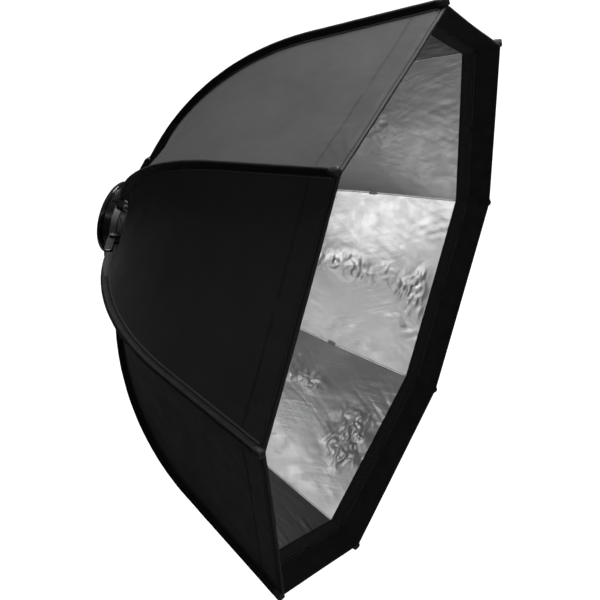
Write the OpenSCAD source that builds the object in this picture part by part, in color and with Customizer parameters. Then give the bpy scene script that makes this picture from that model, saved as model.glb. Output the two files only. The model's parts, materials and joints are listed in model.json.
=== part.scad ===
// Octagonal folding softbox ("octabox") on a turning speedring.
// Frame: the origin is the centre of the head bore on the adapter's rear face, +X runs along the
// optical axis to the open front, and +Z is up with one side of the octagon level at the top.
// Rod 1 stands 22.5 degrees from +Z towards +Y, and the others follow every 45 degrees.

/* [Canopy] */
// Width of the open front across its corners
front_width = 914; // [880:2:950]
// Distance from the adapter's rear face to the front edge
depth = 482; // [470:1:495]
// Thickness of a canopy panel: black cloth with its silver lining
cloth_thickness = 1.4; // [0.8:0.1:1.6]
// Depth of the cloth below the rods' centre line at the hub
cloth_drop_hub = 11.5; // [10.5:0.1:12]
// Depth of the cloth below the rods' centre line at the front
cloth_drop_front = 6; // [5.8:0.1:7]

/* [Rods] */
// Diameter of a fibreglass rod
rod_diameter = 5; // [4:0.1:5]
// Slope of a rod where it leaves the hub, in degrees from the optical axis
root_slope = 65.6; // [65:0.1:66.5]
// Slope of a rod's straight front stretch, in degrees
tip_slope = 25.4; // [24:0.1:27]
// Length of the straight stretch at a rod's root
straight_length = 59; // [56:1:62]
// Wall of the sewn sleeve around a rod
sleeve_wall = 0.9; // [0.6:0.1:1]

/* [Adapter] */
// Diameter of the lamp head that slides into the adapter
head_diameter = 100; // [96:1:100]
// Diameter of the rear flange
flange_diameter = 117.2; // [114:0.2:124]
// Thickness of the rear flange
flange_thickness = 6.5; // [4:0.5:8]

/* [Speedring] */
// Outer diameter of the ring that carries the arms
ring_diameter = 120; // [119:0.5:120.5]
// Radius of the circle that the arm pivots stand on
pivot_radius = 69.3; // [69:0.1:69.6]
// Distance of the arm pivots from the adapter's rear face
pivot_x = 35.5; // [35.3:0.1:35.7]
// Diameter of an arm's hinge pin
pin_diameter = 3; // [2.5:0.1:3]

/* [Hidden] */
$fn = 64;
sides = 8;
half_sector = 180 / sides;
running_clearance = 0.05;

// Rod centre line in its own plane: a straight root, one bow and a straight front stretch
socket_start = 12.08;
rod_start = [
    pivot_x + socket_start * cos(root_slope),
    pivot_radius + socket_start * sin(root_slope)
];
bow_start = rod_start + straight_length * [cos(root_slope), sin(root_slope)];
rod_tip = [depth, front_width / 2];
bow_span = rod_tip - bow_start;
bow_x = sin(root_slope) - sin(tip_slope);
bow_r = cos(tip_slope) - cos(root_slope);
bow_share = 1 - cos(root_slope - tip_slope);
bow_radius = (bow_span.y * cos(tip_slope) - bow_span.x * sin(tip_slope)) / bow_share;
front_length = (bow_r * bow_span.x - bow_x * bow_span.y) / bow_share;
bow_length = bow_radius * (root_slope - tip_slope) * PI / 180;
rod_length = straight_length + bow_length + front_length;
bow_centre = bow_start + bow_radius * [sin(root_slope), -cos(root_slope)];

// Point on the rod's centre line at a length from its root, as [x, radius, slope]
function straight_point(from, slope, length) =
    [from.x + length * cos(slope), from.y + length * sin(slope), slope];
function bow_point(slope) =
    [bow_centre.x - bow_radius * sin(slope), bow_centre.y + bow_radius * cos(slope), slope];
function rod_point(length) =
    length < straight_length
    ? straight_point(rod_start, root_slope, length)
    : length < straight_length + bow_length
    ? bow_point(root_slope - (length - straight_length) / bow_radius * 180 / PI)
    : straight_point(rod_tip, tip_slope, length - rod_length);

// The bow of a swept rod or sleeve is a hair thicker than the straights that run into it
swell = 0.03;
overlap_length = 0.5;

// Sleeves, pockets and arms along a rod
sleeve_bore = 3.4;
arm_length = 51.75;
arm_half_width = 6;
arm_corner = 2.5;
knuckle_half_width = 4;
knuckle_radius = 5;
knuckle_length = 13;
arm_inner_face = -5;
arm_outer_face = 6.5;
arm_end_radius = (arm_outer_face - arm_inner_face) / 2;
arm_axis_height = (arm_outer_face + arm_inner_face) / 2;
socket_margin = 0.3;
thumb_slot_start = 17;
thumb_slot_length = 24;
thumb_slot_width = 2;
thumb_slot_depth = 1.6;
sleeve_gap = 1.5;
sleeve_start = arm_length - socket_start + sleeve_gap;
pocket_length = 16;
pocket_radius = 5.4;
pocket_wall = 2;
pocket_play = 0.3;
rod_end_gap = 6;

// Stations of the cloth along the rods
cloth_start = -4;
cloth_rows = 30;
seam_gap = 0.3;

// Rings along the adapter, by their places on the axis and their radii
barrel_radius = 54;
liner_wall = 2;
liner_end = 50;
tube_end = 55;
grip_start = 22;
grip_end = 33;
grip_radius = 57;
speedring_start = 36.5;
collar_end = 45.5;
ring_start = 46;
speedring_end = 51;
bush_radius = 55.5;
spigot_radius = 57;
collar_radius = 60.6;
retainer_start = 51.6;
retainer_radius = 59;
cover_start = 51.05;
cover_end = 53.5;
cover_inner = 59.4;
cover_outer = 62.4;

// Ears on the speedring and the pins through them
ear_thickness = 3;
ear_gap = 2 * knuckle_half_width + 0.4;
ear_radius = 5.2;
ear_span = ear_gap + 2 * ear_thickness;

// Turns a shape made in rod 1's plane (X forward, Z outward) to the place of a rod or a corner
module at_rod(number) {
    rotate([-half_sector - (number - 1) * 2 * half_sector, 0, 0]) children();
}

// Puts a shape's +X along a rod's root, with the origin on the arm's pivot and +Z outward
module along_arm() {
    translate([pivot_x, 0, pivot_radius]) rotate([0, -root_slope, 0]) children();
}

// Ring around the optical axis
module ring(inner, outer, start, end) {
    rotate([0, 90, 0])
        rotate_extrude($fn = 128)
        translate([inner, start])
        square([outer - inner, end - start]);
}

// Disc, or an annulus when it has an inner radius
module round_section(inner, outer) {
    difference() {
        circle(outer, $fn = 24);
        if (inner > 0) circle(inner, $fn = 24);
    }
}

// Straight stretch of bar or tube that starts at a point of the rod's centre line
module straight_stretch(start, length, inner, outer) {
    translate([start.x, 0, start.y])
        rotate([0, 90 - start.z, 0])
        linear_extrude(length)
        round_section(inner, outer);
}

// Round bar or tube along the rod's centre line, from one length to another
module swept_stretch(from, to, inner, outer) {
    bow_end = straight_length + bow_length;
    straight_stretch(rod_point(from), straight_length - from + overlap_length, inner, outer);
    translate([bow_centre.x, 0, bow_centre.y])
        rotate([90, 0, 0])
        rotate([0, 0, tip_slope + 90])
        rotate_extrude(angle = root_slope - tip_slope, $fn = 360)
        translate([bow_radius, 0])
        round_section(max(0, inner - swell), outer + swell);
    straight_stretch(rod_point(bow_end - overlap_length), to - bow_end + overlap_length, inner, outer);
}

// Canopy

// Corner of the cloth at a length along the rod, at a depth below its centre line: [x, radius]
function cloth_drop(length) =
    cloth_drop_hub
    + (cloth_drop_front - cloth_drop_hub) * min(1, max(0, length / (2 * straight_length)));
function cloth_corner(length, extra) =
    let (p = rod_point(length), drop = cloth_drop(length) + extra)
    [p.x + drop * sin(p.z), p.y - drop * cos(p.z)];

// Last length at which the cloth still ends in the front plane
function cloth_end(extra) = rod_length - (cloth_drop_front + extra) * tan(tip_slope);

// Point on the flat stretch between a corner and the middle of its side
function across(corner, distance) =
    [corner.x, distance * cos(half_sector), corner.y - distance * sin(half_sector)];

// Half of one canopy panel, from the seam over a rod to the middle of the panel
module half_panel(number, turn) {
    rows = [
        for (row = [0 : cloth_rows])
        for (extra = [0, cloth_thickness])
        for (edge = [0, 1])
        let (
            share = row / cloth_rows,
            corner = cloth_corner(cloth_start + share * (cloth_end(extra) - cloth_start), extra),
            width = corner.y * sin(half_sector)
        )
        across(corner, edge == 0 ? seam_gap : width - seam_gap)
    ];
    // A row holds 0 outer seam, 1 outer middle, 2 lining seam, 3 lining middle
    loop = [0, 2, 3, 1];
    last = 4 * cloth_rows;
    skin = [
        for (row = [0 : cloth_rows - 1])
        for (k = [0 : 3])
        let (here = loop[k], next = loop[(k + 1) % 4])
        [4 * row + here, 4 * row + 4 + here, 4 * row + 4 + next, 4 * row + next]
    ];
    ends = [loop, [for (k = [3 : -1 : 0]) last + loop[k]]];
    color([0.07, 0.07, 0.08])
        at_rod(number)
        mirror([0, turn == "b" ? 1 : 0, 0])
        polyhedron(points = rows, faces = concat(skin, ends));
}

// Sewn sleeve that holds a rod against the seam, with the pocket that takes its tip
module rod_sleeve(number) {
    begin = rod_point(rod_length - pocket_length);
    color([0.05, 0.05, 0.055])
        at_rod(number) {
            swept_stretch(sleeve_start, rod_length - pocket_length + pocket_wall,
                          sleeve_bore, sleeve_bore + sleeve_wall);
            translate([begin.x, 0, begin.y])
                rotate([0, 90 - begin.z, 0])
                difference() {
                    cylinder(h = pocket_length - pocket_wall, r = pocket_radius, $fn = 24);
                    translate([0, 0, -pocket_wall])
                        cylinder(h = pocket_length, r = sleeve_bore + pocket_play, $fn = 24);
                }
        }
}

// Frame

// Fibreglass rod, bowed by the canopy
module rod(number) {
    color([0.16, 0.16, 0.17])
        at_rod(number)
        swept_stretch(0, rod_length - rod_end_gap, 0, rod_diameter / 2);
}

// Side view of an arm: a knuckle on the pivot and a bar with a rounded shoulder
module arm_side() {
    circle(knuckle_radius);
    translate([0, arm_inner_face]) square([arm_length - arm_end_radius, 2 * arm_end_radius]);
    translate([arm_length - arm_end_radius, arm_axis_height]) circle(arm_end_radius);
}

// Plan view of an arm: narrow between the ears, then wide with rounded corners
module arm_plan() {
    translate([-knuckle_radius, -knuckle_half_width])
        square([knuckle_radius + knuckle_length + 1, 2 * knuckle_half_width]);
    translate([knuckle_length, -arm_half_width])
        square([arm_length - knuckle_length - arm_corner, 2 * arm_half_width]);
    translate([arm_length - arm_corner - 1, -arm_half_width + arm_corner])
        square([arm_corner + 1, 2 * (arm_half_width - arm_corner)]);
    for (side = [-1, 1])
        translate([arm_length - arm_corner, side * (arm_half_width - arm_corner)])
        circle(arm_corner);
}

// Hinged arm whose socket holds a rod's root, with a thumb slot along its outer face
module rod_arm(number) {
    arm_height = arm_outer_face - arm_inner_face;
    color([0.04, 0.04, 0.045])
        at_rod(number)
        along_arm()
        difference() {
            intersection() {
                translate([0, arm_half_width, 0])
                    rotate([90, 0, 0])
                    linear_extrude(2 * arm_half_width)
                    arm_side();
                translate([0, 0, arm_inner_face - 1])
                    linear_extrude(arm_height + 2)
                    arm_plan();
            }
            rotate([90, 0, 0])
                cylinder(h = 4 * arm_half_width, r = pin_diameter / 2 + running_clearance, center = true);
            translate([socket_start - socket_margin, 0, 0])
                rotate([0, 90, 0])
                cylinder(h = arm_length, r = rod_diameter / 2 + running_clearance, $fn = 32);
            translate([thumb_slot_start, -thumb_slot_width / 2, arm_outer_face - thumb_slot_depth])
                cube([thumb_slot_length, thumb_slot_width, 2 * thumb_slot_depth]);
        }
}

// Speedring

// Ear that holds one side of an arm's pin: a round eye on a foot that reaches over the collar
module ear_profile() {
    collar_room = 62.6;
    foot_inner = ring_diameter / 2 - 2;
    translate([pivot_x, pivot_radius]) circle(ear_radius);
    polygon([
        [pivot_x - 1.6, pivot_radius - 4.9],
        [ring_start + 0.1, collar_room],
        [ring_start + 0.1, foot_inner],
        [speedring_end, foot_inner],
        [speedring_end, ring_diameter / 2 + 2.4],
        [speedring_end - 2.5, ring_diameter / 2 + 6],
        [pivot_x + 4.4, pivot_radius + 2.7]
    ]);
}

// Both ears of one arm, without their pin hole
module ear_pair() {
    for (side = [-1, 1])
        translate([0, side * (ear_gap + ear_thickness) / 2 + ear_thickness / 2, 0])
            rotate([90, 0, 0])
            linear_extrude(ear_thickness)
            ear_profile();
}

// Cast ring with eight pairs of ears
module speedring_body() {
    pin_play = 0.02;
    color([0.07, 0.07, 0.075])
        difference() {
            union() {
                ring(bush_radius, spigot_radius, speedring_start, ring_start + 1);
                ring(bush_radius, ring_diameter / 2, ring_start, speedring_end);
                for (number = [1 : sides]) at_rod(number) ear_pair();
            }
            for (number = [1 : sides])
                at_rod(number)
                    pivot_cylinder(2 * ear_span, pin_diameter / 2 + pin_play);
        }
}

// Cylinder across an arm's pivot in rod 1's plane
module pivot_cylinder(length, radius) {
    translate([pivot_x, 0, pivot_radius])
        rotate([90, 0, 0])
        cylinder(h = length, r = radius, center = true, $fn = 32);
}

// Nylon bush that lets the speedring turn on the adapter
module slide_bush() {
    end_gap = 0.3;
    color([0.75, 0.75, 0.72])
        ring(barrel_radius + running_clearance, bush_radius - 0.02,
             speedring_start + end_gap, speedring_end - end_gap);
}

// Pins of the eight arms
module hinge_pins() {
    color([0.7, 0.7, 0.72])
        for (number = [1 : sides])
        at_rod(number)
            pivot_cylinder(ear_span - 0.2, pin_diameter / 2);
}

// Moulded ring that covers the front of the speedring inside the canopy
module cover_ring() {
    color([0.05, 0.05, 0.055]) ring(cover_inner, cover_outer, cover_start, cover_end);
}

// Heads of the screws along the axis that hold the cover ring
module cover_screws() {
    head_height = 1;
    head_radius = 1.3;
    color([0.6, 0.6, 0.62])
        for (k = [0 : 3])
        rotate([k * 90, 0, 0])
            translate([cover_end + 0.02, 0, (cover_inner + cover_outer) / 2])
            rotate([0, 90, 0])
            cylinder(h = head_height, r = head_radius, $fn = 24);
}

// Elastic cloth edge that grips the speedring between the ears
module cloth_binding() {
    binding_start = 49.6;
    binding_end = 50.9;
    binding_width = 4.4;
    slot_width = ear_span + 1;
    color([0.06, 0.06, 0.065])
        difference() {
            ring(ring_diameter / 2 + 0.1, ring_diameter / 2 + binding_width,
                 binding_start, binding_end);
            for (number = [1 : sides])
                at_rod(number)
                    translate([binding_start - 1, -slot_width / 2, ring_diameter / 2 - 5])
                    cube([4, slot_width, 4 * binding_width]);
        }
}

// Turning collar that locks the arms, with a slanted split and a cam below each arm
module lock_collar() {
    cam_rise = 1.2;
    cam_half_width = 4;
    split_width = 0.8;
    split_length = 19;
    split_depth = 1.5;
    collar_middle = (speedring_start + collar_end) / 2;
    color([0.1, 0.1, 0.105])
        difference() {
            union() {
                ring(spigot_radius + running_clearance, collar_radius, speedring_start, collar_end);
                for (number = [1 : sides])
                    at_rod(number)
                    translate([speedring_start + 1, -cam_half_width, collar_radius - 1])
                    cube([collar_end - speedring_start - 2, 2 * cam_half_width, cam_rise + 1]);
            }
            rotate([42, 0, 0])
                translate([collar_middle, 0, collar_radius])
                rotate([0, 0, -55])
                cube([split_length, split_width, 2 * split_depth], center = true);
        }
}

// Thumb tab on the collar, hollowed at both sides for a finger
module collar_tab() {
    tab_width = 12;
    tab_height = 7;
    hollow_radius = 5;
    tab_place = 97;
    color([0.45, 0.45, 0.47])
        rotate([-tab_place, 0, 0])
        difference() {
            translate([speedring_start + 0.5, -tab_width / 2, collar_radius + 0.05])
                cube([collar_end - speedring_start - 1, tab_width, tab_height]);
            for (side = [-1, 1])
                translate([speedring_start, side * (tab_width / 2 + 1), collar_radius + tab_height + 1])
                rotate([0, 90, 0])
                cylinder(h = 20, r = hollow_radius);
        }
}

// Adapter

// Flanged tube that carries everything on the lamp head, with six keys on its barrel
module adapter_tube() {
    bore = head_diameter / 2 + liner_wall + running_clearance;
    flange_bevel = 1;
    key_start = 10;
    key_length = 8;
    key_width = 3;
    key_height = 1.2;
    color([0.02, 0.02, 0.025])
        union() {
            ring(bore, barrel_radius, 0, tube_end);
            ring(bore, flange_diameter / 2 - flange_bevel, 0, flange_thickness);
            ring(bore, flange_diameter / 2, flange_bevel, flange_thickness - flange_bevel);
            for (k = [0 : 5])
                rotate([k * 60 + 12, 0, 0])
                    translate([key_start, -key_width / 2, barrel_radius - 1])
                    cube([key_length, key_width, key_height + 1]);
        }
}

// Rubber liner that grips the lamp head
module head_liner() {
    color([0.1, 0.1, 0.1])
        ring(head_diameter / 2, head_diameter / 2 + liner_wall, 0, liner_end);
}

// Matte ring pressed on the barrel behind the speedring
module grip_ring() {
    color([0.2, 0.2, 0.21])
        ring(barrel_radius + 0.02, grip_radius, grip_start, grip_end);
}

// Ring that keeps the speedring on the adapter
module retaining_ring() {
    color([0.55, 0.55, 0.57])
        difference() {
            ring(barrel_radius + 0.02, retainer_radius, retainer_start, tube_end);
            grub_cylinders(0.1, retainer_radius - barrel_radius, 1.27, 24);
        }
}

// Radial cylinders at the retaining ring's four grub screws, from a height above the barrel
module grub_cylinders(height, length, radius, facets) {
    for (k = [0 : 3])
        rotate([45 + k * 90, 0, 0])
            translate([(retainer_start + tube_end) / 2, 0, barrel_radius + height])
            cylinder(h = length, r = radius, $fn = facets);
}

// Grub screws, each with a hexagon socket
module retaining_screws() {
    screw_length = 4.7;
    socket_depth = 1.5;
    color([0.7, 0.7, 0.72])
        difference() {
            grub_cylinders(0.1, screw_length, 1.25, 24);
            grub_cylinders(0.1 + screw_length - socket_depth, screw_length, 0.7, 6);
        }
}

adapter_tube();
head_liner();
grip_ring();
retaining_ring();
retaining_screws();
speedring_body();
slide_bush();
hinge_pins();
cover_ring();
cover_screws();
cloth_binding();
lock_collar();
collar_tab();
rod_arm(1);  // rod_arm_1
rod_arm(2);  // rod_arm_2
rod_arm(3);  // rod_arm_3
rod_arm(4);  // rod_arm_4
rod_arm(5);  // rod_arm_5
rod_arm(6);  // rod_arm_6
rod_arm(7);  // rod_arm_7
rod_arm(8);  // rod_arm_8
rod(1);  // rod_1
rod(2);  // rod_2
rod(3);  // rod_3
rod(4);  // rod_4
rod(5);  // rod_5
rod(6);  // rod_6
rod(7);  // rod_7
rod(8);  // rod_8
rod_sleeve(1);  // rod_sleeve_1
rod_sleeve(2);  // rod_sleeve_2
rod_sleeve(3);  // rod_sleeve_3
rod_sleeve(4);  // rod_sleeve_4
rod_sleeve(5);  // rod_sleeve_5
rod_sleeve(6);  // rod_sleeve_6
rod_sleeve(7);  // rod_sleeve_7
rod_sleeve(8);  // rod_sleeve_8
half_panel(1, "a");  // half_panel_1a
half_panel(1, "b");  // half_panel_1b
half_panel(2, "a");  // half_panel_2a
half_panel(2, "b");  // half_panel_2b
half_panel(3, "a");  // half_panel_3a
half_panel(3, "b");  // half_panel_3b
half_panel(4, "a");  // half_panel_4a
half_panel(4, "b");  // half_panel_4b
half_panel(5, "a");  // half_panel_5a
half_panel(5, "b");  // half_panel_5b
half_panel(6, "a");  // half_panel_6a
half_panel(6, "b");  // half_panel_6b
half_panel(7, "a");  // half_panel_7a
half_panel(7, "b");  // half_panel_7b
half_panel(8, "a");  // half_panel_8a
half_panel(8, "b");  // half_panel_8b
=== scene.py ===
import json
import math

import bpy
import numpy as np
from mathutils import Matrix, Vector


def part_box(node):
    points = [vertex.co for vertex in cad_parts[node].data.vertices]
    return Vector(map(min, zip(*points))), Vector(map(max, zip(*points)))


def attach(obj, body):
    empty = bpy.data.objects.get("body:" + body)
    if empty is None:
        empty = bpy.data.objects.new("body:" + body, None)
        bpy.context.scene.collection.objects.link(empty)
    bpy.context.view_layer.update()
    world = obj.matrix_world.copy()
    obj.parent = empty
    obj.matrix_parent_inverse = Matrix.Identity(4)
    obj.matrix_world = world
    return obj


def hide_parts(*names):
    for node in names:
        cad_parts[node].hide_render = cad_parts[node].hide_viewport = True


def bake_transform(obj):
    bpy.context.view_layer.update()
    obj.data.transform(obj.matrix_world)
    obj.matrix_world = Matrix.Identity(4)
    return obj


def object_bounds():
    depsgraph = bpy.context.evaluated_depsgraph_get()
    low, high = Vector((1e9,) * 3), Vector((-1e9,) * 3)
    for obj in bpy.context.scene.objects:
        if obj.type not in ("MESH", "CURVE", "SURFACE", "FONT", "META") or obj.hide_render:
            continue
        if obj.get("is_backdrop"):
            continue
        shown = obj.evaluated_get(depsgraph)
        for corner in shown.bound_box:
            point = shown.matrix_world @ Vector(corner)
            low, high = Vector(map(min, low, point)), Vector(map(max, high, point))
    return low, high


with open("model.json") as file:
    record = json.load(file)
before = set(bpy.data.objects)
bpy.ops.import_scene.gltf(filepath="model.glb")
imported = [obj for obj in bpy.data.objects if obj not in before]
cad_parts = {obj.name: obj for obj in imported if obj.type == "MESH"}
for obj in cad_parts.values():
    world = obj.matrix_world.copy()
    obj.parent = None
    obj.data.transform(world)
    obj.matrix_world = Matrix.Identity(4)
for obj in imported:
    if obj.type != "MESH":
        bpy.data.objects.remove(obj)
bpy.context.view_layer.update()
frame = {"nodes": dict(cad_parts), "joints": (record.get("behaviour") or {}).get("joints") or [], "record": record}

# ---------------------------------------------------------------------------
# Driving dimensions, in metres and degrees
# ---------------------------------------------------------------------------
SIDES = 8
HALF_SECTOR = math.pi / SIDES
ROOT_SLOPE = math.radians(65.6)
TIP_SLOPE = math.radians(25.4)
STRAIGHT = 0.059
SOCKET_START = 0.01208
DROP_HUB = 0.0115
DROP_FRONT = 0.006
CLOTH_START = -0.004
ARM_LENGTH = 0.05175

# The lip at the open front, with its hook strip and the bead round its edge
LIP_DEPTH = 0.060
HOOK_WIDTH = 0.018
BEAD_RADIUS = 0.0017
# Distances of the hem's stitching and of the binding's groove from the front edge
HEM_DEPTH = 0.047
BINDING = 0.0060
# The lining's distance below the outer cloth, and how far each of them hangs in
LINING_DEPTH = 0.0040
LINING_SAG = 0.007
SAG = 0.0040
HUB_SAG = 0.0055


def joint(name):
    return next(j for j in frame["joints"] if j["name"] == name)


# Rod 1 stands half a sector from +Z towards +Y
def rod_angle(number):
    return HALF_SECTOR + (number - 1) * 2 * HALF_SECTOR


def turned(points, angle):
    """Points given as (forward, tangential, outward) at +Z, turned about the optical axis."""
    points = np.asarray(points, float)
    x, t, r = points[..., 0], points[..., 1], points[..., 2]
    c, s = math.cos(angle), math.sin(angle)
    return np.stack([x, t * c + r * s, r * c - t * s], -1)


# ---------------------------------------------------------------------------
# The rod's centre line: a straight root, one bow and a straight front
# ---------------------------------------------------------------------------
pivot = np.array(joint("fold_1")["pos_m"])
PIVOT_X = pivot[0]
PIVOT_R = math.hypot(pivot[1], pivot[2])
FRONT_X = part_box("half_panel_1a")[1].x
CORNER_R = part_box("half_panel_1a")[1].z / math.cos(HALF_SECTOR)
TIP_R = CORNER_R + DROP_FRONT / math.cos(TIP_SLOPE)
ROOT = np.array(
    [
        PIVOT_X + SOCKET_START * math.cos(ROOT_SLOPE),
        PIVOT_R + SOCKET_START * math.sin(ROOT_SLOPE),
    ]
)
bow_start = ROOT + STRAIGHT * np.array([math.cos(ROOT_SLOPE), math.sin(ROOT_SLOPE)])
bow = np.array(
    [
        [math.sin(ROOT_SLOPE) - math.sin(TIP_SLOPE), math.cos(TIP_SLOPE)],
        [math.cos(TIP_SLOPE) - math.cos(ROOT_SLOPE), math.sin(TIP_SLOPE)],
    ]
)
BOW_RADIUS, FRONT_LENGTH = np.linalg.solve(bow, np.array([FRONT_X, TIP_R]) - bow_start)
BOW_LENGTH = BOW_RADIUS * (ROOT_SLOPE - TIP_SLOPE)
ROD_LENGTH = STRAIGHT + BOW_LENGTH + FRONT_LENGTH
bow_centre = bow_start + BOW_RADIUS * np.array([math.sin(ROOT_SLOPE), -math.cos(ROOT_SLOPE)])


def rod_line(length):
    """Forward place, radius and slope of the rod's centre line at lengths from its root."""
    length = np.asarray(length, float)
    turned_by = np.clip((length - STRAIGHT) / BOW_RADIUS, 0, ROOT_SLOPE - TIP_SLOPE)
    slope = ROOT_SLOPE - turned_by
    on_root = length < STRAIGHT
    on_bow = length < STRAIGHT + BOW_LENGTH
    bow_x = bow_centre[0] - BOW_RADIUS * np.sin(slope)
    bow_r = bow_centre[1] + BOW_RADIUS * np.cos(slope)
    front_x = FRONT_X + (length - ROD_LENGTH) * math.cos(TIP_SLOPE)
    front_r = TIP_R + (length - ROD_LENGTH) * math.sin(TIP_SLOPE)
    root_x = ROOT[0] + length * math.cos(ROOT_SLOPE)
    root_r = ROOT[1] + length * math.sin(ROOT_SLOPE)
    x = np.where(on_root, root_x, np.where(on_bow, bow_x, front_x))
    r = np.where(on_root, root_r, np.where(on_bow, bow_r, front_r))
    return x, r, slope


def cloth_drop(length):
    return DROP_HUB + (DROP_FRONT - DROP_HUB) * np.clip(length / (2 * STRAIGHT), 0, 1)


CLOTH_END = ROD_LENGTH - DROP_FRONT * math.tan(TIP_SLOPE)
SEAM_LENGTH = CLOTH_END - LIP_DEPTH


def cloth_corner(length):
    """Forward place and radius of the canopy's corner line under a rod."""
    x, r, slope = rod_line(length)
    drop = cloth_drop(np.asarray(length, float))
    return x + drop * np.sin(slope), r - drop * np.cos(slope)


# ---------------------------------------------------------------------------
# Smooth noise, the same on every run
# ---------------------------------------------------------------------------
lattice = np.random.default_rng(7)
SHUFFLE = lattice.permutation(256)
SLOPES = lattice.normal(size=(256, 3))
SLOPES /= np.linalg.norm(SLOPES, axis=1)[:, None]


def noise(points):
    """Gradient noise, about -1 to 1, at points of shape (..., 3)."""
    points = np.asarray(points, float)
    cell = np.floor(points).astype(int)
    part = points - cell
    fade = part * part * part * (part * (part * 6 - 15) + 10)
    total = np.zeros(points.shape[:-1])
    for dx in (0, 1):
        for dy in (0, 1):
            for dz in (0, 1):
                corner = cell + np.array([dx, dy, dz])
                key = SHUFFLE[corner[..., 0] % 256]
                key = SHUFFLE[(key + corner[..., 1]) % 256]
                key = SHUFFLE[(key + corner[..., 2]) % 256]
                slope = SLOPES[key]
                value = ((part - np.array([dx, dy, dz])) * slope).sum(-1)
                weight = np.ones_like(total)
                for axis, step in enumerate((dx, dy, dz)):
                    weight = weight * (fade[..., axis] if step else 1 - fade[..., axis])
                total += value * weight
    return total * 1.6


def stretched(along, across, size_along, size_across, layer):
    """Noise on a cloth, with features of one size along the rods and another across."""
    return noise(np.stack([along / size_along, across / size_across, np.full_like(along, layer)], -1))


def creases(value, sharpness):
    """Sharp ridges where a smooth noise crosses zero."""
    return np.exp(-np.abs(value) * sharpness)


def bump(value, middle, width):
    return np.exp(-(((value - middle) / width) ** 2))


def ramp(value, low, high):
    t = np.clip((value - low) / (high - low), 0, 1)
    return t * t * (3 - 2 * t)


# ---------------------------------------------------------------------------
# Materials
# ---------------------------------------------------------------------------
class Finish:
    """A node material with short calls for the nodes that repeat."""

    def __init__(self, name, colour, roughness, metallic=0.0):
        self.material = bpy.data.materials.new(name)
        self.material.use_nodes = True
        self.tree = self.material.node_tree
        self.shader = self.tree.nodes["Principled BSDF"]
        self.set(Roughness=roughness, Metallic=metallic)
        self.shader.inputs["Base Color"].default_value = (*colour, 1)
        self.colour = colour

    def set(self, **values):
        for key, value in values.items():
            self.shader.inputs[key.replace("_", " ")].default_value = value

    def node(self, kind, **settings):
        made = self.tree.nodes.new(kind)
        for key, value in settings.items():
            if hasattr(made, key):
                setattr(made, key, value)
            else:
                made.inputs[key.replace("_", " ")].default_value = value
        return made

    def link(self, source, target):
        self.tree.links.new(source, target)

    def place(self, source="Object"):
        return self.node("ShaderNodeTexCoord").outputs[source]

    def noise(self, scale, detail=4.0, roughness=0.55, source="Object", stretch=None):
        made = self.node("ShaderNodeTexNoise", Scale=scale, Detail=detail, Roughness=roughness)
        place = self.place(source)
        if stretch is not None:
            mapping = self.node("ShaderNodeMapping")
            mapping.inputs["Scale"].default_value = stretch
            self.link(place, mapping.inputs["Vector"])
            place = mapping.outputs["Vector"]
        self.link(place, made.inputs["Vector"])
        return made.outputs["Fac"]

    def ramp(self, value, *stops):
        made = self.node("ShaderNodeValToRGB")
        elements = made.color_ramp.elements
        while len(elements) < len(stops):
            elements.new(0.5)
        for element, (place, colour) in zip(elements, stops):
            element.position = place
            element.color = (*colour, 1) if len(colour) == 3 else colour
        self.link(value, made.inputs["Fac"])
        return made.outputs["Color"]

    def range(self, value, low, high, source_low=0.0, source_high=1.0):
        made = self.node("ShaderNodeMapRange")
        for key, number in zip(
            ("From Min", "From Max", "To Min", "To Max"), (source_low, source_high, low, high)
        ):
            made.inputs[key].default_value = number
        self.link(value, made.inputs["Value"])
        return made.outputs["Result"]

    def math(self, operation, first, second):
        made = self.node("ShaderNodeMath", operation=operation)
        for socket, value in zip(made.inputs, (first, second)):
            if isinstance(value, (int, float)):
                socket.default_value = value
            else:
                self.link(value, socket)
        return made.outputs["Value"]

    def tint(self, value, darker, lighter):
        """Base colour that runs between two shares of the finish's own colour."""
        low = tuple(c * darker for c in self.colour)
        high = tuple(min(1, c * lighter) for c in self.colour)
        self.link(self.ramp(value, (0.25, low), (0.75, high)), self.shader.inputs["Base Color"])

    def rough(self, value, low, high):
        self.link(self.range(value, low, high, 0.3, 0.7), self.shader.inputs["Roughness"])

    def relief(self, height, strength, distance, before=None):
        made = self.node("ShaderNodeBump", Strength=strength, Distance=distance)
        self.link(height, made.inputs["Height"])
        if before is not None:
            self.link(before, made.inputs["Normal"])
        return made.outputs["Normal"]

    def weave(self, pitch):
        """Plain weave on the UV map, which is laid out in metres: over and under threads."""
        place = self.node("ShaderNodeSeparateXYZ")
        self.link(self.place("UV"), place.inputs["Vector"])
        waves = []
        for axis in ("X", "Y"):
            angle = self.math("MULTIPLY", place.outputs[axis], math.pi / pitch)
            waves.append(self.math("SINE", angle, 0))
        return self.math("ABSOLUTE", self.math("MULTIPLY", *waves), 0)

    def finish_normal(self, normal):
        self.link(normal, self.shader.inputs["Normal"])
        return self.material


def canopy_cloth():
    f = Finish("canopy_cloth", (0.0185, 0.0185, 0.019), 0.7)
    f.set(Sheen_Weight=0.03, Sheen_Roughness=0.5, Specular_IOR_Level=0.12)
    blotches = f.noise(9, 6)
    f.tint(blotches, 0.8, 1.3)
    f.rough(f.noise(30, 3), 0.62, 0.78)
    threads = f.relief(f.weave(0.0007), 0.35, 0.0002)
    return f.finish_normal(f.relief(f.noise(60, 5), 0.12, 0.0015, threads))


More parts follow.
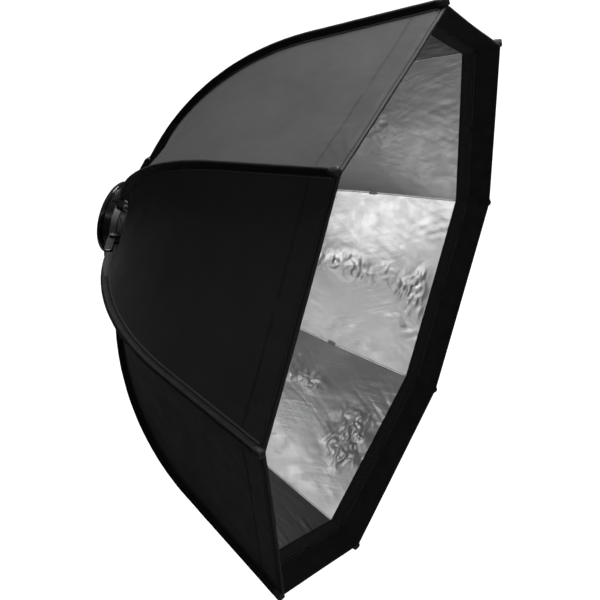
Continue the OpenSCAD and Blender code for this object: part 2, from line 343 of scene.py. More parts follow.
def sleeve_cloth():
    f = Finish("sleeve_cloth", (0.0045, 0.0045, 0.0048), 0.55)
    f.set(Sheen_Weight=0.01, Sheen_Roughness=0.4, Specular_IOR_Level=0.10)
    f.tint(f.noise(45, 4), 0.75, 1.35)
    f.rough(f.noise(80, 3), 0.42, 0.58)
    threads = f.relief(f.weave(0.0009), 0.5, 0.0003)
    return f.finish_normal(f.relief(f.noise(160, 4), 0.25, 0.001, threads))


def silver_lining():
    f = Finish("silver_lining", (0.66, 0.66, 0.665), 0.34, 0.75)
    threads = f.ramp(f.noise(14, 6), (0.25, (0.6, 0.6, 0.605)), (0.75, (0.71, 0.71, 0.715)))
    # Painted shade: the base colour fades to near black where the cloth is seen edge on, darkening the panels seen
    # at a slant
    facing = f.node("ShaderNodeLayerWeight").outputs["Facing"]
    painted_edge_on_shade = f.range(facing, 1.0, 0.08, 0.45, 0.78)
    threads_and_painted_shade = f.node("ShaderNodeMix", data_type="RGBA")
    f.link(painted_edge_on_shade, threads_and_painted_shade.inputs["Factor"])
    # Near-black colour of the painted shade
    threads_and_painted_shade.inputs["A"].default_value = (0.02, 0.02, 0.02, 1)
    f.link(threads, threads_and_painted_shade.inputs["B"])
    f.link(threads_and_painted_shade.outputs["Result"], f.shader.inputs["Base Color"])
    f.rough(f.noise(50, 5), 0.28, 0.40)
    fine = f.relief(f.noise(700, 4, 0.7), 0.35, 0.0004)
    crinkle = f.noise(75, 7, 0.62)
    normal = f.relief(crinkle, 0.12, 0.0010, fine)
    # Fine drag lines at two slants, in patches, thinner than the mesh can hold
    patches = f.range(f.noise(11, 3), 0.0, 1.0, 0.44, 0.62)
    for lean, long, thin, strength in ((0.42, 9.0, 150.0, 0.26), (-0.50, 14.0, 190.0, 0.13)):
        mapping = f.node("ShaderNodeMapping")
        mapping.inputs["Rotation"].default_value = (0, 0, lean)
        f.link(f.place("UV"), mapping.inputs["Vector"])
        stretch = f.node("ShaderNodeMapping")
        stretch.inputs["Scale"].default_value = (long, thin, 1)
        f.link(mapping.outputs["Vector"], stretch.inputs["Vector"])
        line = f.node("ShaderNodeTexNoise", Scale=1.0, Detail=3.0, Roughness=0.5, Distortion=1.1)
        f.link(stretch.outputs["Vector"], line.inputs["Vector"])
        height = f.math("MULTIPLY", line.outputs["Fac"], patches)
        normal = f.relief(height, strength, 0.0022, normal)
    return f.finish_normal(normal)


def lip_cloth():
    f = Finish("lip_cloth", (0.011, 0.011, 0.0115), 0.8)
    f.set(Sheen_Weight=0.01, Sheen_Roughness=0.6, Specular_IOR_Level=0.06)
    f.tint(f.noise(40, 5), 0.75, 1.35)
    f.rough(f.noise(90, 3), 0.7, 0.85)
    threads = f.relief(f.weave(0.0009), 0.5, 0.0003)
    return f.finish_normal(f.relief(f.noise(120, 4), 0.2, 0.001, threads))


def hook_strip():
    f = Finish("hook_strip", (0.014, 0.014, 0.0145), 0.85)
    f.set(Sheen_Weight=0.04, Sheen_Roughness=0.5, Specular_IOR_Level=0.12)
    f.tint(f.noise(300, 4), 0.6, 1.5)
    f.rough(f.noise(200, 3), 0.78, 0.92)
    return f.finish_normal(f.relief(f.noise(900, 3), 0.9, 0.0008))


def thread(name, colour):
    f = Finish(name, colour, 0.75)
    f.set(Specular_IOR_Level=0.1)
    f.tint(f.noise(500, 3), 0.8, 1.25)
    f.rough(f.noise(300, 2), 0.65, 0.85)
    return f.finish_normal(f.relief(f.noise(1500, 2), 0.6, 0.0002))


def pocket_leather():
    f = Finish("pocket_leather", (0.021, 0.021, 0.0215), 0.62)
    f.set(Specular_IOR_Level=0.12)
    f.tint(f.noise(90, 4), 0.75, 1.3)
    f.rough(f.noise(120, 3), 0.42, 0.6)
    grain = f.node("ShaderNodeTexVoronoi", Scale=900.0)
    f.link(f.place(), grain.inputs["Vector"])
    return f.finish_normal(f.relief(grain.outputs["Distance"], 0.4, 0.0003))


def moulded(name, colour, low, high, grain, strength, specular=0.5, bevel=0.0008):
    """Moulded or coated surface with a fine grain, rounded at its edges."""
    f = Finish(name, colour, (low + high) / 2)
    f.set(Specular_IOR_Level=specular)
    f.tint(f.noise(60, 4), 0.85, 1.2)
    f.rough(f.noise(140, 5), low, high)
    edge = f.node("ShaderNodeBevel", samples=4)
    edge.inputs["Radius"].default_value = bevel
    return f.finish_normal(f.relief(f.noise(grain, 3), strength, 0.0003, edge.outputs["Normal"]))


def turned_metal(name, colour, roughness, metallic):
    """Metal with the fine rings a lathe leaves around the optical axis."""
    f = Finish(name, colour, roughness, metallic)
    f.tint(f.noise(120, 4), 0.85, 1.15)
    f.rough(f.noise(90, 4), roughness - 0.08, roughness + 0.1)
    lines = f.noise(1.0, 2, stretch=(2600.0, 14.0, 14.0))
    edge = f.node("ShaderNodeBevel", samples=4)
    edge.inputs["Radius"].default_value = 0.0005
    return f.finish_normal(f.relief(lines, 0.35, 0.0002, edge.outputs["Normal"]))


def fibreglass():
    f = Finish("rod_fibreglass", (0.02, 0.02, 0.022), 0.35)
    strands = f.noise(40, 4, stretch=(1.0, 12.0, 12.0))
    f.tint(strands, 0.7, 1.5)
    f.rough(f.noise(200, 3), 0.28, 0.45)
    return f.finish_normal(f.relief(strands, 0.3, 0.0003))


# ---------------------------------------------------------------------------
# Mesh helpers
# ---------------------------------------------------------------------------
def mesh_object(name, points, faces, materials, face_material=None, uv=None):
    """An object from points and faces, smooth shaded. uv holds one pair per point, in metres."""
    mesh = bpy.data.meshes.new(name)
    mesh.from_pydata([tuple(p) for p in points], [], [tuple(f) for f in faces])
    for material in materials:
        mesh.materials.append(material)
    if face_material is not None:
        mesh.polygons.foreach_set("material_index", np.asarray(face_material, np.int32))
    mesh.polygons.foreach_set("use_smooth", np.ones(len(mesh.polygons), bool))
    if uv is not None:
        corner_point = np.zeros(len(mesh.loops), np.int32)
        mesh.loops.foreach_get("vertex_index", corner_point)
        layer = mesh.uv_layers.new(name="UVMap")
        layer.data.foreach_set("uv", np.asarray(uv, np.float32)[corner_point].ravel())
    mesh.update()
    made = bpy.data.objects.new(name, mesh)
    bpy.context.scene.collection.objects.link(made)
    return made


def grid_faces(rows, columns, flip=False, closed=False, first=0):
    """Quads over a grid of points. A closed grid joins its last column to its first."""
    row, column = np.meshgrid(
        np.arange(rows - 1), np.arange(columns if closed else columns - 1), indexing="ij"
    )
    beside = (column + 1) % columns
    a = row * columns + column
    b = row * columns + beside
    c = (row + 1) * columns + beside
    d = (row + 1) * columns + column
    quads = np.stack([a, d, c, b] if flip else [a, b, c, d], -1).reshape(-1, 4)
    return quads + first


def joined(parts):
    """One set of points, faces, face materials and UVs from several parts. A part's material is
    one number, or one for each of its faces."""
    points, faces, slots, uvs, start = [], [], [], [], 0
    for part_points, part_faces, slot, part_uv in parts:
        points.append(part_points)
        faces += [tuple(i + start for i in f) for f in part_faces]
        slots += [slot] * len(part_faces) if isinstance(slot, int) else list(slot)
        uvs.append(part_uv if part_uv is not None else part_points[:, :2])
        start += len(part_points)
    return np.concatenate(points), faces, slots, np.concatenate(uvs)


def stitches(path, outward, length, gap, radius):
    """Small raised stitches along a path, as (points, faces). outward lifts each one's middle."""
    step = np.linalg.norm(np.diff(path, axis=0), axis=1)
    reach = np.concatenate([[0], np.cumsum(step)])
    count = int(reach[-1] // (length + gap))
    points, faces = [], []
    starts = np.arange(count) * (length + gap) + gap / 2
    ring = [(math.cos(a), math.sin(a)) for a in np.linspace(0, 2 * math.pi, 6, endpoint=False)]
    for start in starts:
        stations = start + length * np.array([0.0, 0.2, 0.5, 0.8, 1.0])
        swell = np.array([0.35, 0.85, 1.0, 0.85, 0.35])
        centre = np.stack([np.interp(stations, reach, path[:, k]) for k in range(3)], -1)
        up = np.stack([np.interp(stations, reach, outward[:, k]) for k in range(3)], -1)
        along = centre[-1] - centre[0]
        along /= np.linalg.norm(along)
        side = np.cross(along, up)
        first = len(points)
        for k in range(5):
            for c, s in ring:
                points.append(centre[k] + radius * swell[k] * (c * side[k] + s * up[k]))
        faces += [tuple(f) for f in grid_faces(5, 6, closed=True, first=first)]
        faces.append(tuple(first + k for k in range(6)))
        faces.append(tuple(first + 24 + k for k in reversed(range(6))))
    return np.array(points), faces


# ---------------------------------------------------------------------------
# Canopy panels. Each panel is worked out whole, then split at its middle into two halves,
# named for the rods on either side.
# ---------------------------------------------------------------------------
HALF_COLUMNS = 44


def panel_frame(lengths, depth, across):
    """Base points of a panel at +Z: forward, tangential and outward, with the outward normal.
    across runs from -1 at one rod to 1 at the next."""
    x, corner = cloth_corner(lengths)
    middle = corner * math.cos(HALF_SECTOR)
    slope = np.arctan2(np.gradient(middle), np.gradient(x))
    normal = np.stack([-np.sin(slope), np.zeros_like(slope), np.cos(slope)], -1)
    width = (corner * math.sin(HALF_SECTOR))[:, None]
    grid = np.stack(
        [
            np.broadcast_to(x[:, None], (len(lengths), len(across))),
            width * across[None, :],
            np.broadcast_to(middle[:, None], (len(lengths), len(across))),
        ],
        -1,
    )
    share = np.clip((lengths - CLOTH_START) / (CLOTH_END - CLOTH_START), 0, 1)[:, None]
    hang = SAG * np.sin(math.pi * share**0.9) + 0.0012 * share
    from_hub = (lengths - CLOTH_START)[:, None]
    hang = hang + HUB_SAG * ramp(from_hub, 0, 0.042) * (1 - ramp(from_hub, 0.06, 0.20))
    sunk = hang * (1 - across[None, :] ** 2) + depth
    return grid - sunk[..., None] * normal[:, None, :], normal


def outer_relief(lengths, across_metres, across, panel):
    """Height of the outer cloth's folds, in metres."""
    along = np.broadcast_to(lengths[:, None], across_metres.shape)
    to_edge = CLOTH_END - along
    edge = 1 - np.abs(across)[None, :] ** 6
    broad = 0.0009 * stretched(along, across_metres, 0.16, 0.10, 3 * panel + 0.3)
    fine = 0.00025 * stretched(along, across_metres, 0.022, 0.030, 3 * panel + 1.7)
    # Short puckers run back from the stitching at the hem
    pucker = stretched(along, across_metres, 0.05, 0.011, 3 * panel + 2.1)
    puckers = 0.00035 * pucker * bump(to_edge, HEM_DEPTH, 0.028)
    groove = -0.0003 * bump(to_edge, HEM_DEPTH, 0.0010) - 0.0024 * bump(to_edge, BINDING, 0.0013)
    groove = groove - 0.0011 * bump(to_edge, BINDING + 0.0052, 0.0009)
    groove = groove + 0.0005 * (1 - ramp(to_edge, BINDING - 0.0008, BINDING))
    # Tension folds fan out of the two front corners
    folds = 0
    for side in (-1, 1):
        corner_across = side * (CORNER_R * math.sin(HALF_SECTOR) - 0.004)
        away_along = to_edge + 0.006
        away_across = np.abs(across_metres - corner_across)
        angle = np.arctan2(away_across, away_along)
        reach = np.hypot(away_along, away_across)
        wander = noise(np.stack([angle * 2.2, reach / 0.09, np.full_like(angle, panel + side)], -1))
        wave = noise(np.stack([angle * 6.5 + wander, reach / 0.12, np.full_like(angle, 7.0)], -1))
        strength = 0.0014 if panel % 8 in (5, 6) else 0.0007
        folds = folds + strength * wave * bump(reach, 0.055, 0.045) * ramp(reach, 0, 0.02)
    return (broad + fine + puckers + folds) * edge + groove


# Where each panel's lining is crumpled: (share of the way out, across, long, wide, strength)
PLAIN_CLUSTER = [(0.68, 0.0, 0.15, 0.30, 0.7)]
CLUSTERS = {
    2: [(0.74, -0.15, 0.12, 0.40, 0.35)],
    3: [(0.72, -0.02, 0.17, 0.17, 0.8), (0.95, 0.08, 0.065, 0.30, 0.8)],
    4: [(0.68, -0.30, 0.12, 0.20, 1.0), (0.93, 0.05, 0.09, 0.45, 1.1)],
}


def drag_lines(along, across, lean, long, thin, layer):
    """Thin folds that run at a slant to the rods and wander as they go."""
    c, s = math.cos(lean), math.sin(lean)
    bend = 0.020 * stretched(along, across, 0.11, 0.11, layer + 0.4)
    forward = c * along + s * across
    sideways = c * across - s * along + bend
    return stretched(forward, sideways, long, thin, layer)


def lining_relief(lengths, across_metres, across, panel):
    """Depth of the lining's crumples, in metres."""
    along = np.broadcast_to(lengths[:, None], across_metres.shape)
    share = (along - CLOTH_START) / (SEAM_LENGTH - CLOTH_START)
    to_lip = SEAM_LENGTH - along
    layer = 5 * panel
    slack = (1 - np.abs(across)[None, :] ** 2.6) * ramp(share, 0.05, 0.3)
    belly = LINING_SAG * (1 - across[None, :] ** 2) * np.sin(math.pi * np.clip(share, 0, 1))
    # Sharp little crumples lie in one or two loose clusters near the middle of the panel
    ragged = 0.75 + 0.5 * stretched(along, across_metres, 0.03, 0.03, layer + 1.1)
    cluster = 0
    for middle, place, long, wide, strength in CLUSTERS.get(panel, PLAIN_CLUSTER):
        near = bump(share, middle, long) * bump(across, place, wide)[None, :]
        cluster = cluster + strength * ramp(near * ragged, 0.15, 0.75)
    jitter = 0.007 * stretched(along, across_metres, 0.018, 0.018, layer + 0.8)
    lying = stretched(along + jitter, across_metres - jitter, 0.013, 0.026, layer + 2.2)
    other = stretched(along - jitter, across_metres + jitter, 0.024, 0.012, layer + 2.9)
    small = stretched(along + jitter, across_metres + jitter, 0.0075, 0.0085, layer + 3.3)
    crumple = 0.0030 * creases(lying, 3.2) + 0.0022 * creases(other, 3.4) + 0.0006 * small
    # Fine drag lines cross the whole panel at several slants
    fine = 0.00030 * drag_lines(along, across_metres, 0.45, 0.12, 0.0065, layer + 4.1)
    fine = fine + 0.00024 * drag_lines(along, across_metres, -0.62, 0.10, 0.0052, layer + 4.6)
    fine = fine + 0.00030 * drag_lines(along, across_metres, 0.16, 0.20, 0.0130, layer + 5.2)
    fine = fine * (0.20 + 0.65 * ramp(stretched(along, across_metres, 0.1, 0.07, layer + 5.8), -0.3, 0.4))
    # Longer folds gather at the lip and slant away from its corners
    gather = drag_lines(along, across_metres, 0.55, 0.085, 0.0125, layer + 6.6)
    gather = gather + 0.7 * drag_lines(along, across_metres, -0.4, 0.075, 0.0105, layer + 6.9)
    where_gathered = ramp(stretched(along, across_metres, 0.3, 0.055, layer + 7.2), -0.3, 0.35)
    gathers = 0.0014 * gather * where_gathered * bump(to_lip, 0.0, 0.060)
    soft = 0.0024 * stretched(along, across_metres, 0.15, 0.12, layer + 7.7)
    hem = ramp(to_lip, 0.0, 0.012)
    settled = ramp(to_lip, 0.0, 0.07)
    return belly + (crumple * cluster + fine * slack**0.3) * hem + soft * slack * settled + gathers * slack


def split_halves(panel):
    """The two halves of a panel, as (rod number, side, columns)."""
    before = panel if panel > 0 else SIDES
    after = panel + 1
    return [
        (before, "a", slice(0, HALF_COLUMNS + 1)),
        (after, "b", slice(HALF_COLUMNS, 2 * HALF_COLUMNS + 1)),
    ]


def pleat(piece):
    """Bakes the piece's transform into its points."""
    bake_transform(piece)


def half_grid(grid, columns, angle):
    part = grid[:, columns]
    return turned(part, angle).reshape(-1, 3), part.shape[0], part.shape[1]


def cloth_uv(lengths, across_metres, columns):
    part = across_metres[:, columns]
    return np.stack([np.broadcast_to(lengths[:, None], part.shape), part], -1).reshape(-1, 2)


def spaced(*stretches):
    """Stations that run through stretches of (end, count) from a first value."""
    values = [stretches[0]]
    for end, count in stretches[1:]:
        values += list(np.linspace(values[-1], end, count + 1)[1:])
    return np.array(values)


ACROSS = np.linspace(-1, 1, 2 * HALF_COLUMNS + 1)


def panel_cloth(panel, cloth, thread_material):
    """The black outer cloth of one panel, in two halves, with its hem stitching."""
    lengths = spaced(
        CLOTH_START,
        (CLOTH_END - HEM_DEPTH - 0.006, 100),
        (CLOTH_END - HEM_DEPTH + 0.006, 14),
        (CLOTH_END - BINDING - 0.0080, 10),
        (CLOTH_END - BINDING + 0.0028, 30),
        (CLOTH_END - BEAD_RADIUS, 3),
    )
    grid, normal = panel_frame(lengths, 0.0, ACROSS)
    metres = (cloth_corner(lengths)[1] * math.sin(HALF_SECTOR))[:, None] * ACROSS[None, :]
    height = outer_relief(lengths, metres, ACROSS, panel)
    grid = grid + height[..., None] * normal[:, None, :]
    angle = 2 * HALF_SECTOR * panel
    for number, side, columns in split_halves(panel):
        points, rows, count = half_grid(grid, columns, angle)
        uv = cloth_uv(lengths, metres, columns)
        faces = [tuple(f) for f in grid_faces(rows, count, flip=True)]
        parts = [(points, faces, 0, uv)]
        for offset in (-0.0012, 0.0018, HEM_DEPTH - BINDING - 0.0004):
            row = int(np.argmin(np.abs(lengths - CLOTH_END + HEM_DEPTH - offset)))
            path = turned(grid[row, columns], angle)[2:-2]
            out = turned(np.broadcast_to(normal[row], grid[row, columns].shape), angle)[2:-2]
            made = stitches(path + 0.0001 * out, out, 0.0028, 0.0014, 0.00028)
            parts.append((made[0], made[1], 1, None))
        points, faces, slots, uv = joined(parts)
        name = f"cloth_{number}{side}"
        piece = mesh_object(name, points, faces, [cloth, thread_material], slots, uv)
        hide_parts(f"half_panel_{number}{side}")
        pleat(piece)


def panel_lining(panel, silver):
    lengths = spaced(CLOTH_START + 0.004, (SEAM_LENGTH - 0.10, 150), (SEAM_LENGTH + 0.002, 56))
    grid, normal = panel_frame(lengths, LINING_DEPTH, ACROSS)
    metres = (cloth_corner(lengths)[1] * math.sin(HALF_SECTOR))[:, None] * ACROSS[None, :]
    depth = lining_relief(lengths, metres, ACROSS, panel)
    seam = 1 - np.abs(ACROSS) ** 10
    grid = grid - (depth * seam[None, :])[..., None] * normal[:, None, :]
    angle = 2 * HALF_SECTOR * panel
    for number, side, columns in split_halves(panel):
        points, rows, count = half_grid(grid, columns, angle)
        uv = cloth_uv(lengths, metres, columns)
        piece = mesh_object(
            f"lining_{number}{side}", points, grid_faces(rows, count), [silver], uv=uv
        )
        pleat(piece)


def lip_section():
    """Outline of the sewn lip: (length, depth, slot) from the outer cloth round the bead and
    back along the inside to the lining."""
    outline = []
    for turn in np.linspace(0, math.pi, 9):
        length = CLOTH_END - BEAD_RADIUS + BEAD_RADIUS * math.sin(turn)
        outline.append((length, BEAD_RADIUS * (1 - math.cos(turn)), 0))
    back = CLOTH_END - LIP_DEPTH
    for length in np.linspace(CLOTH_END - 0.004, back + HOOK_WIDTH + 0.0006, 16):
        outline.append((length, 2 * BEAD_RADIUS + 0.0002, 0))
    outline.append((back + HOOK_WIDTH, 2 * BEAD_RADIUS + 0.0002, 1))
    outline.append((back + HOOK_WIDTH - 0.0003, 2 * BEAD_RADIUS + 0.0014, 1))
    for length in np.linspace(back + HOOK_WIDTH - 0.001, back + 0.001, 10):
        outline.append((length, 2 * BEAD_RADIUS + 0.0017, 1))
    outline.append((back + 0.0003, 2 * BEAD_RADIUS + 0.0014, 1))
    outline.append((back, 2 * BEAD_RADIUS - 0.0002, 1))
    return outline


def panel_lip(panel, cloth, hook, light_thread):
    outline = lip_section()
    lengths = np.array([o[0] for o in outline])
    depths = np.array([o[1] for o in outline])
    fine = spaced(CLOTH_END - 0.08, (CLOTH_END, 80))
    base, fine_normal = panel_frame(fine, 0.0, ACROSS)
    at = [[np.interp(lengths, fine, base[:, c, k]) for k in range(3)] for c in range(len(ACROSS))]
    grid = np.array(at).transpose(2, 0, 1)
    normal = np.stack([np.interp(lengths, fine, fine_normal[:, k]) for k in range(3)], -1)
    metres = (cloth_corner(lengths)[1] * math.sin(HALF_SECTOR))[:, None] * ACROSS[None, :]
    along = np.broadcast_to(lengths[:, None], metres.shape)
    ripple = 0.0005 * stretched(along, metres, 0.06, 0.035, 2 * panel + 0.9)
    ripple = ripple + 0.00018 * stretched(along, metres, 0.012, 0.016, 2 * panel + 1.4)
    ripple = ripple * ramp(depths, BEAD_RADIUS, 2 * BEAD_RADIUS)[:, None]
    edge = (1 - np.abs(ACROSS) ** 8)[None, :]
    outer = outer_relief(np.full(1, CLOTH_END - BEAD_RADIUS), metres[:1], ACROSS, panel)
    sunk = depths[:, None] + ripple * edge - outer * (1 - ramp(depths, 0, 0.0034))[:, None]
    grid = grid - sunk[..., None] * normal[:, None, :]
    angle = 2 * HALF_SECTOR * panel
    slots = [outline[k + 1][2] for k in range(len(outline) - 1)]
    slots[:5] = [4] * 5
    for number, side, columns in split_halves(panel):
        points, rows, count = half_grid(grid, columns, angle)
        uv = cloth_uv(np.cumsum(np.concatenate([[0], np.hypot(np.diff(lengths), np.diff(depths))])),
                      metres, columns)
        faces = grid_faces(rows, count, flip=True)
        parts = [(points, [tuple(f) for f in faces], np.repeat(slots, count - 1), uv)]
        stitch_lengths = (CLOTH_END - 0.006, CLOTH_END - LIP_DEPTH + HOOK_WIDTH + 0.003,
                          CLOTH_END - LIP_DEPTH + 0.003, CLOTH_END - LIP_DEPTH + HOOK_WIDTH - 0.003)
        for place, stitch_length in enumerate(stitch_lengths):
            inside = np.arange(len(outline)) > 8
            row = int(np.argmin(np.abs(lengths - stitch_length) + (~inside) * 1.0))
            path = turned(grid[row, columns], angle)[2:-2]
            inward = -turned(np.broadcast_to(normal[row], grid[row, columns].shape), angle)[2:-2]
            made = stitches(path + 0.0001 * inward, inward, 0.0028, 0.0012, 0.0003)
            parts.append((made[0], made[1], 3 if place == 1 else 2, None))
        points, faces, face_slots, uv = joined(parts)
        piece = mesh_object(
            f"lip_{number}{side}",
            points,
            faces,
            [cloth, hook, MATERIALS["dark_thread"], light_thread, MATERIALS["canopy_cloth"]],
            face_slots,
            uv,
        )
        pleat(piece)


# ---------------------------------------------------------------------------
# Rod sleeves, corner pockets, inner seam tapes and diffuser loops
# ---------------------------------------------------------------------------
def rod_frames(lengths):
    """Centre, forward tangent and outward normal of rod 1's line at +Z, as (n, 3) arrays."""
    x, r, slope = rod_line(lengths)
    zero = np.zeros_like(x)
    centre = np.stack([x, zero, r], -1)
    along = np.stack([np.cos(slope), zero, np.sin(slope)], -1)
    out = np.stack([-np.sin(slope), zero, np.cos(slope)], -1)
    return centre, along, out


ARC_DEGREES = 230
ARC_STEPS = 14
FIRST_OF_ARC = 4


def sleeve_outline(lengths):
    """Section of the sewn sleeve per station: (tangential, outward) pairs, shape (n, m, 2)."""
    drop = cloth_drop(lengths)
    flange, foot, tube = 0.0078, 0.0040, 0.0038
    lean = math.tan(HALF_SECTOR)
    rows = []
    for d in drop:
        def on_cloth(t, lift):
            return (t, -d - abs(t) * lean + lift)
        left = [on_cloth(-flange, 0.0002), on_cloth(-flange, 0.0011), on_cloth(-foot - 0.0012, 0.0011),
                on_cloth(-foot - 0.0002, 0.0012)]
        arc = [
            (tube * math.cos(a), tube * math.sin(a))
            for a in np.radians(90 + ARC_DEGREES * np.linspace(0.5, -0.5, ARC_STEPS + 1))
        ]
        right = [(-t, n) for t, n in reversed(left)]
        under = [on_cloth(flange * 0.5, 0.0002), on_cloth(0.0, 0.0004), on_cloth(-flange * 0.5, 0.0002)]
        rows.append(left + arc + right + under)
    return np.array(rows)


def rod_sleeve(number, cloth, thread_material):
    start = ARM_LENGTH - SOCKET_START + 0.0015
    lengths = np.linspace(start, ROD_LENGTH - 0.014, 170)
    centre, _, out = rod_frames(lengths)
    outline = sleeve_outline(lengths)
    count = outline.shape[1]
    side = np.array([0.0, 1.0, 0.0])
    wrinkle = noise(
        np.stack(
            [
                np.broadcast_to(lengths[:, None] / 0.012, outline.shape[:2]),
                outline[..., 0] / 0.006 + number * 7,
                outline[..., 1] / 0.006,
            ],
            -1,
        )
    )
    grow = 1 + 0.05 * wrinkle
    points = (
        centre[:, None, :]
        + (outline[..., 0] * grow)[..., None] * side
        + outline[..., 1][..., None] * out[:, None, :]
        + (0.00022 * wrinkle)[..., None] * out[:, None, :]
    )
    perimeter = np.concatenate([[0], np.cumsum(np.hypot(*np.diff(outline[0], axis=0).T))])
    uv = np.stack(
        [
            np.broadcast_to(lengths[:, None], outline.shape[:2]),
            np.broadcast_to(perimeter[None, :], outline.shape[:2]),
        ],
        -1,
    ).reshape(-1, 2)
    faces = [tuple(f) for f in grid_faces(len(lengths), count, closed=True, flip=True)]
    faces.append(tuple(range(count)))
    faces.append(tuple(reversed(range((len(lengths) - 1) * count, len(lengths) * count))))
    angle = rod_angle(number)
    # Dark tape covers the top of the tube, and narrows to nothing beside the arm. The panels'
    # own cloth shows on the rest, but for a line of piping along each flange, coloured lighter than
    # the cloth as a painted highlight on the flange's edge
    columns = np.arange((len(lengths) - 1) * count) % count
    stations = lengths[np.arange((len(lengths) - 1) * count) // count]
    from_top = np.abs((columns - FIRST_OF_ARC + 0.5) / ARC_STEPS - 0.5) * ARC_DEGREES
    taped = from_top < 200 * ramp(stations, 0.045, 0.170)
    faced = np.zeros(len(faces), int)
    faced[: len(columns)] = np.where(taped, 0, 3)
    faced[: len(columns)][np.isin(columns, (1, count - 6))] = 2
    parts = [(turned(points.reshape(-1, 3), angle), faces, faced, uv)]
    for sign in (-1, 1):
        t = sign * 0.0052
        lift = -cloth_drop(lengths) - abs(t) * math.tan(HALF_SECTOR) + 0.0010
        path = centre + t * side + lift[:, None] * out
        lean = np.array([0.0, sign * math.sin(HALF_SECTOR), 0.0])
        up = out * math.cos(HALF_SECTOR) + lean
        made = stitches(turned(path, angle), turned(up, angle), 0.0030, 0.0016, 0.00030)
        parts.append((made[0], made[1], 1, None))
    points, faces, slots, uv = joined(parts)
    materials = [cloth, thread_material, MATERIALS["sleeve_piping_painted_highlight"], MATERIALS["canopy_cloth"]]
    piece = mesh_object(f"sleeve_{number}", points, faces, materials, slots, uv)
    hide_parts(f"rod_sleeve_{number}")
    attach(piece, f"arm_{number}")


def corner_pocket(number, leather):
    """Flat pocket sewn over a rod's tip, drawn to a point where it lies on the sleeve."""
    length = 0.021
    stations = np.linspace(0, 1, 20)
    lengths = ROD_LENGTH - length + length * stations
    centre, _, out = rod_frames(np.minimum(lengths, ROD_LENGTH))
    side = np.array([0.0, 1.0, 0.0])
    count = 28
    rows = []
    for k, share in enumerate(stations):
        close = math.sqrt(max(0.0, 1 - max(0.0, (share - 0.80) / 0.20) ** 2))
        point = ramp(share, -0.35, 0.62)
        wide = 0.0004 + 0.0054 * max(0.25, close) * point
        high = 0.0034 + 0.0010 * min(1.0, close + 0.2) * point
        ring = []
        for a in np.linspace(0, 2 * math.pi, count, endpoint=False):
            c, s = math.cos(a), math.sin(a)
            t = wide * math.copysign(abs(c) ** 0.8, c)
            skirt = cloth_drop(lengths[k]) + abs(t) * math.tan(HALF_SECTOR) - 0.0004
            n = high * s**0.9 - 0.0008 if s > 0 else -skirt * min(1.0, 1.6 * abs(s))
            ring.append(centre[k] + t * side + n * out[k])
        rows.append(ring)
    points = np.array(rows)
    dent = noise(points.reshape(-1, 3) / 0.006 + number * 3).reshape(len(stations), count)
    points = points + (0.0004 * dent)[..., None] * out[:, None, :]
    faces = [tuple(f) for f in grid_faces(len(stations), count, closed=True, flip=True)]
    faces.append(tuple(range(count)))
    faces.append(tuple(reversed(range((len(stations) - 1) * count, len(stations) * count))))
    piece = mesh_object(
        f"corner_pocket_{number}", turned(points.reshape(-1, 3), rod_angle(number)), faces, [leather]
    )
    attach(piece, f"arm_{number}")


def tube_points(path, up, radius, count=10, flat=1.0):
    """A tube's points along a path, one ring per station."""
    along = np.gradient(path, axis=0)
    along /= np.linalg.norm(along, axis=1)[:, None]
    side = np.cross(along, up)
    side /= np.linalg.norm(side, axis=1)[:, None]
    rings = []
    for a in np.linspace(0, 2 * math.pi, count, endpoint=False):
        rings.append(path + radius * (math.cos(a) * side + flat * math.sin(a) * up))
    return np.stack(rings, 1)


def tube(path, up, radius, count=10, flat=1.0):
    rings = tube_points(path, up, radius, count, flat)
    rows = len(path)
    faces = [tuple(f) for f in grid_faces(rows, count, closed=True, flip=True)]
    faces.append(tuple(range(count)))
    faces.append(tuple(reversed(range((rows - 1) * count, rows * count))))
    return rings.reshape(-1, 3), faces


LOOP_SHARE = 0.73  # of the way out along the seam


def inner_seam(number, silver, loop_material):
    """Silver tape over the lining's seam, with a small loop on it for an inner diffuser."""
    lengths = np.linspace(CLOTH_START + 0.006, SEAM_LENGTH, 150)
    centre, _, out = rod_frames(lengths)
    shake = 0.0003 * noise(np.stack([lengths / 0.011, lengths * 0 + number, lengths * 0], -1))
    depth = cloth_drop(lengths) + LINING_DEPTH + 0.0006 + shake
    path = centre - depth[:, None] * out
    angle = rod_angle(number)
    points, faces = tube(turned(path, angle), turned(out, angle), 0.0016, 10, 0.75)
    piece = mesh_object(f"seam_tape_{number}", points, faces, [silver])
    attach(piece, f"arm_{number}")

    middle = LOOP_SHARE * SEAM_LENGTH
    c, a, o = (v[0] for v in rod_frames(np.array([middle])))
    foot = c - (cloth_drop(middle) + LINING_DEPTH + 0.0012) * o
    turn = np.linspace(-0.15 * math.pi, 1.15 * math.pi, 25)
    loop = foot + 0.0050 * np.cos(turn)[:, None] * a - 0.0034 * (np.sin(turn) + 0.2)[:, None] * o
    side = np.broadcast_to([0.0, 1.0, 0.0], loop.shape)
    points, faces = tube(turned(loop, angle), turned(side, angle), 0.0009, 8, 1.6)
    parts = [(points, faces, 0, None)]
    pad = np.stack([foot + s * 0.007 * a - 0.0006 * o for s in (-1, -0.6, 0, 0.6, 1)])
    points, faces = tube(turned(pad, angle), turned(np.broadcast_to(o, pad.shape), angle), 0.0026, 10, 0.3)
    parts.append((points, faces, 0, None))
    points, faces, slots, _ = joined(parts)
    piece = mesh_object(f"diffuser_loop_{number}", points, faces, [loop_material], slots)
    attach(piece, f"arm_{number}")


